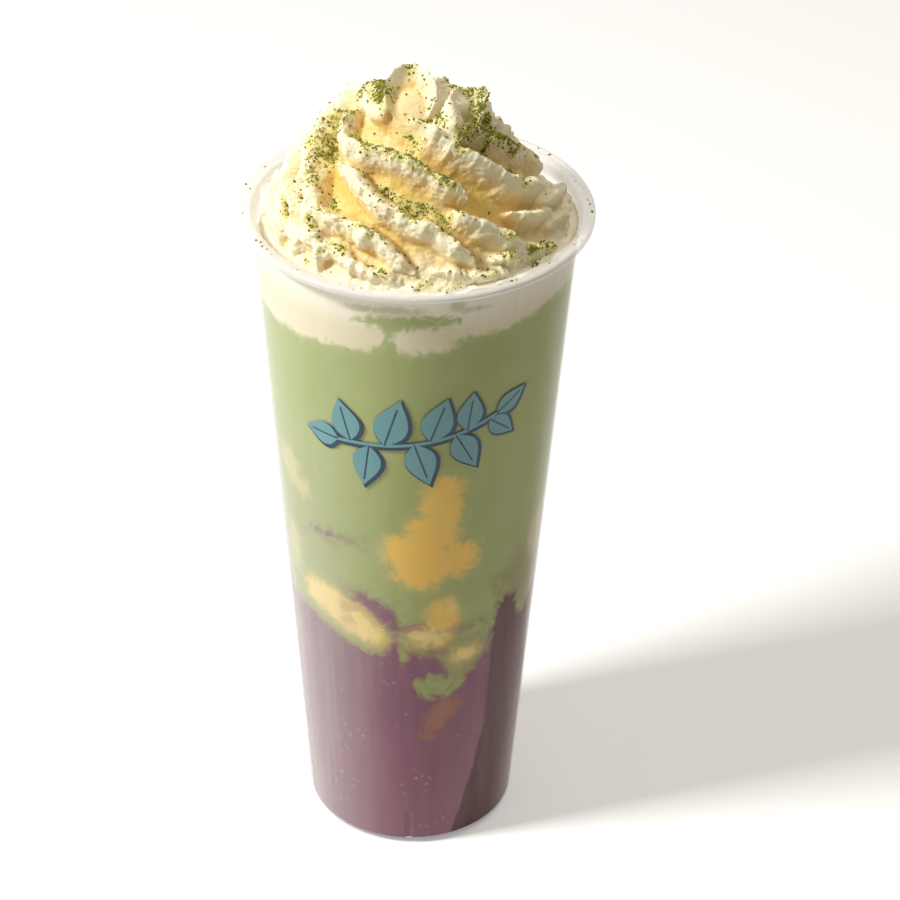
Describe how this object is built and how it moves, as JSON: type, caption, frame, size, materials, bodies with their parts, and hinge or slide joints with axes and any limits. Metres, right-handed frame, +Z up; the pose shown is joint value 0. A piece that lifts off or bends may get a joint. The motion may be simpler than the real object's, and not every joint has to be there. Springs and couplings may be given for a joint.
{
  "type": "layered iced latte in a plastic cup",
  "caption": "Tall clear plastic cup of purple and green layered iced latte with custard lumps, heaped with a twisted swirl of whipped cream.",
  "frame": {"origin": "middle of the cup's foot, on the surface that it stands on", "axes": "+Z up along the cup's axis, -Y towards the front, where the print is, +X to the right"},
  "size_m": [0.09, 0.09, 0.2291],
  "materials": {
    "cup_plastic": "clear injection moulded polypropylene, glossy",
    "ube_milk": "purple yam milk, smooth and opaque",
    "matcha_latte": "pale green milky tea, smooth and opaque",
    "whipped_cream": "whipped cream, soft and matt",
    "custard": "soft custard, smooth"
  },
  "bodies": {
    "root": {"cup": "cup_plastic", "ube_milk": "ube_milk", "matcha_latte": "matcha_latte", "cream_layer": "whipped_cream", "cream_swirl": "whipped_cream", "custard_front": "custard", "custard_low_left": "custard", "custard_low_right": "custard", "custard_small": "custard", "custard_back_left": "custard", "custard_back_right": "custard"}
  },
  "joints": []
}
